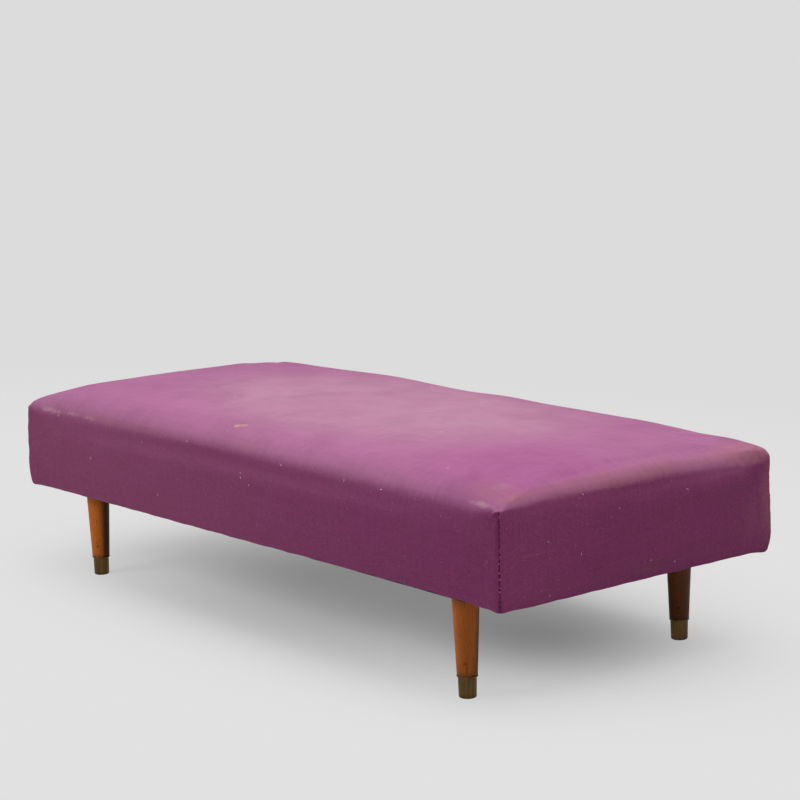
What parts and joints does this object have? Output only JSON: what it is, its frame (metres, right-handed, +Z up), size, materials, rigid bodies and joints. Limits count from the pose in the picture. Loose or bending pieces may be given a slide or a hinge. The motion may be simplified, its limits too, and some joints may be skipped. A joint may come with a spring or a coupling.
{
  "type": "backless divan",
  "caption": "Low upholstered backless divan with a crowned sprung top on round tapered wooden legs with brass ferrules.",
  "frame": {"origin": "on the floor under the middle of the body", "axes": "+X along the length, +Y from the front long side to the back one, +Z up"},
  "size_m": [1.75, 0.745, 0.4652],
  "materials": {
    "wool_cover": "purple woven wool, faded and rubbed along the top edges",
    "seam_thread": "dark purple waxed thread",
    "wadding": "cotton wadding",
    "stuffing": "curled hair and coir",
    "hessian": "plain jute cloth",
    "lashing_cord": "laid jute cord",
    "spring_steel": "coppered spring wire, dulled",
    "webbing": "herringbone jute webbing",
    "frame_wood": "planed beech, bare",
    "leg_wood": "turned wood, warm brown stain and worn lacquer",
    "ferrule_brass": "aged brass, dulled and spotted",
    "steel": "plain steel",
    "dust_cloth": "black cotton dust cover"
  },
  "bodies": {
    "root": {"cover": "wool_cover", "stitches_front_left": "seam_thread", "stitches_front_right": "seam_thread", "stitches_back_left": "seam_thread", "stitches_back_right": "seam_thread", "wadding": "wadding", "stuffing": "stuffing", "hessian": "hessian", "edge_roll_front": "hessian", "edge_roll_back": "hessian", "edge_roll_left": "hessian", "edge_roll_right": "hessian", "lashing_long": "lashing_cord", "lashing_cross": "lashing_cord", "springs_front": "spring_steel", "springs_middle": "spring_steel", "springs_back": "spring_steel", "webbing_long": "webbing", "webbing_cross": "webbing", "webbing_tacks": "steel", "rail_front": "frame_wood", "rail_back": "frame_wood", "rail_left": "frame_wood", "rail_right": "frame_wood", "leg_board_left": "frame_wood", "leg_board_right": "frame_wood", "centre_stretcher": "frame_wood", "corner_block_front_left": "frame_wood", "corner_block_front_right": "frame_wood", "corner_block_back_left": "frame_wood", "corner_block_back_right": "frame_wood", "rail_screws": "steel", "board_screws": "steel", "stretcher_screws": "steel", "block_screws": "steel", "leg_front_left": "leg_wood", "leg_front_right": "leg_wood", "leg_back_left": "leg_wood", "leg_back_right": "leg_wood", "ferrule_front_left": "ferrule_brass", "ferrule_front_right": "ferrule_brass", "ferrule_back_left": "ferrule_brass", "ferrule_back_right": "ferrule_brass", "leg_bolt_front_left": "steel", "leg_bolt_front_right": "steel", "leg_bolt_back_left": "steel", "leg_bolt_back_right": "steel", "tee_nut_front_left": "steel", "tee_nut_front_right": "steel", "tee_nut_back_left": "steel", "tee_nut_back_right": "steel", "cover_tacks": "steel", "dust_cover": "dust_cloth", "dust_cover_tacks": "steel"}
  },
  "joints": []
}
